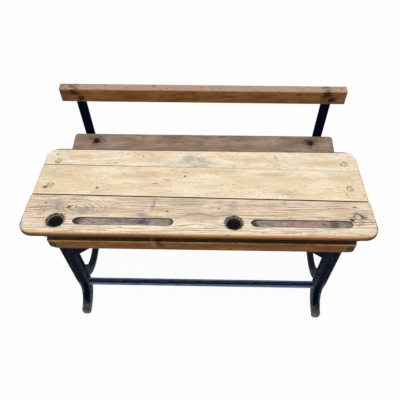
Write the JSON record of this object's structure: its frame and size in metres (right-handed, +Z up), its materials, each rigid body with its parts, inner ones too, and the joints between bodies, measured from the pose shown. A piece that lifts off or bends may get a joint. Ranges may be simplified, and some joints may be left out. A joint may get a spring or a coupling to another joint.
{
  "type": "school desk",
  "caption": "Sloping school desk on cast-iron ends with a hinged lift lid over a book box, inkwell holes, pen grooves, foot rail, and a joined bench with a back rail.",
  "frame": {"origin": "on the floor at the middle of the footprint", "axes": "+X along the desk, +Y from the front of the desk towards the bench, +Z up"},
  "size_m": [1.07, 0.7, 0.6972],
  "materials": {
    "top_pine": "bleached bare pine, worn",
    "plug_pine": "cross-grain pine plugs",
    "box_pine": "dark varnished pine",
    "varnished_pine": "brown varnished pine",
    "seat_pine": "worn grey-brown pine",
    "painted_casting": "navy-black enamel, worn at the edges",
    "painted_bar": "navy enamel",
    "wrought_iron": "dull grey iron",
    "dark_steel": "oxidised"
  },
  "bodies": {
    "desk_frame": {"ink_board": "top_pine", "ink_board_plugs": "plug_pine", "ink_board_left_cleat": "box_pine", "ink_board_right_cleat": "box_pine", "box_front_panel": "box_pine", "box_back_panel": "box_pine", "box_left_end": "box_pine", "box_right_end": "box_pine", "box_floor": "box_pine", "front_rail": "varnished_pine", "back_rail": "varnished_pine", "seat_plank": "seat_pine", "left_standard": "painted_casting", "right_standard": "painted_casting", "foot_rail": "painted_bar", "left_back_upright": "painted_bar", "right_back_upright": "painted_bar", "ink_board_left_bracket": "wrought_iron", "ink_board_centre_bracket": "wrought_iron", "ink_board_right_bracket": "wrought_iron", "rail_left_plate": "wrought_iron", "rail_right_plate": "wrought_iron", "hinge_left_fixed_leaf": "wrought_iron", "hinge_left_pin": "wrought_iron", "hinge_centre_fixed_leaf": "wrought_iron", "hinge_centre_pin": "wrought_iron", "hinge_right_fixed_leaf": "wrought_iron", "hinge_right_pin": "wrought_iron", "ink_board_screws": "dark_steel", "hinge_fixed_screws": "dark_steel", "box_screws": "dark_steel", "bracket_screws": "dark_steel", "rail_plate_screws": "dark_steel", "foot_rail_bolts": "dark_steel", "foot_rail_nuts": "dark_steel", "seat_bolts": "dark_steel", "seat_nuts": "dark_steel", "upright_bolts": "dark_steel", "upright_nuts": "dark_steel", "back_rail_bolts": "dark_steel", "back_rail_nuts": "dark_steel"},
    "lid": {"lid_front_board": "top_pine", "lid_rear_board": "top_pine", "lid_left_batten": "box_pine", "lid_right_batten": "box_pine", "lid_centre_batten": "box_pine", "lid_plugs": "plug_pine", "lid_screws": "dark_steel", "hinge_left_lid_leaf": "wrought_iron", "hinge_centre_lid_leaf": "wrought_iron", "hinge_right_lid_leaf": "wrought_iron", "hinge_lid_screws": "dark_steel"}
  },
  "joints": [
    {"name": "lid_hinge", "type": "hinge", "parent": "desk_frame", "child": "lid", "pos_m": [0, -0.19863, 0.66965], "axis": [0.9999, -0.0139, 0.0025], "range_deg": [0, 110]}
  ]
}
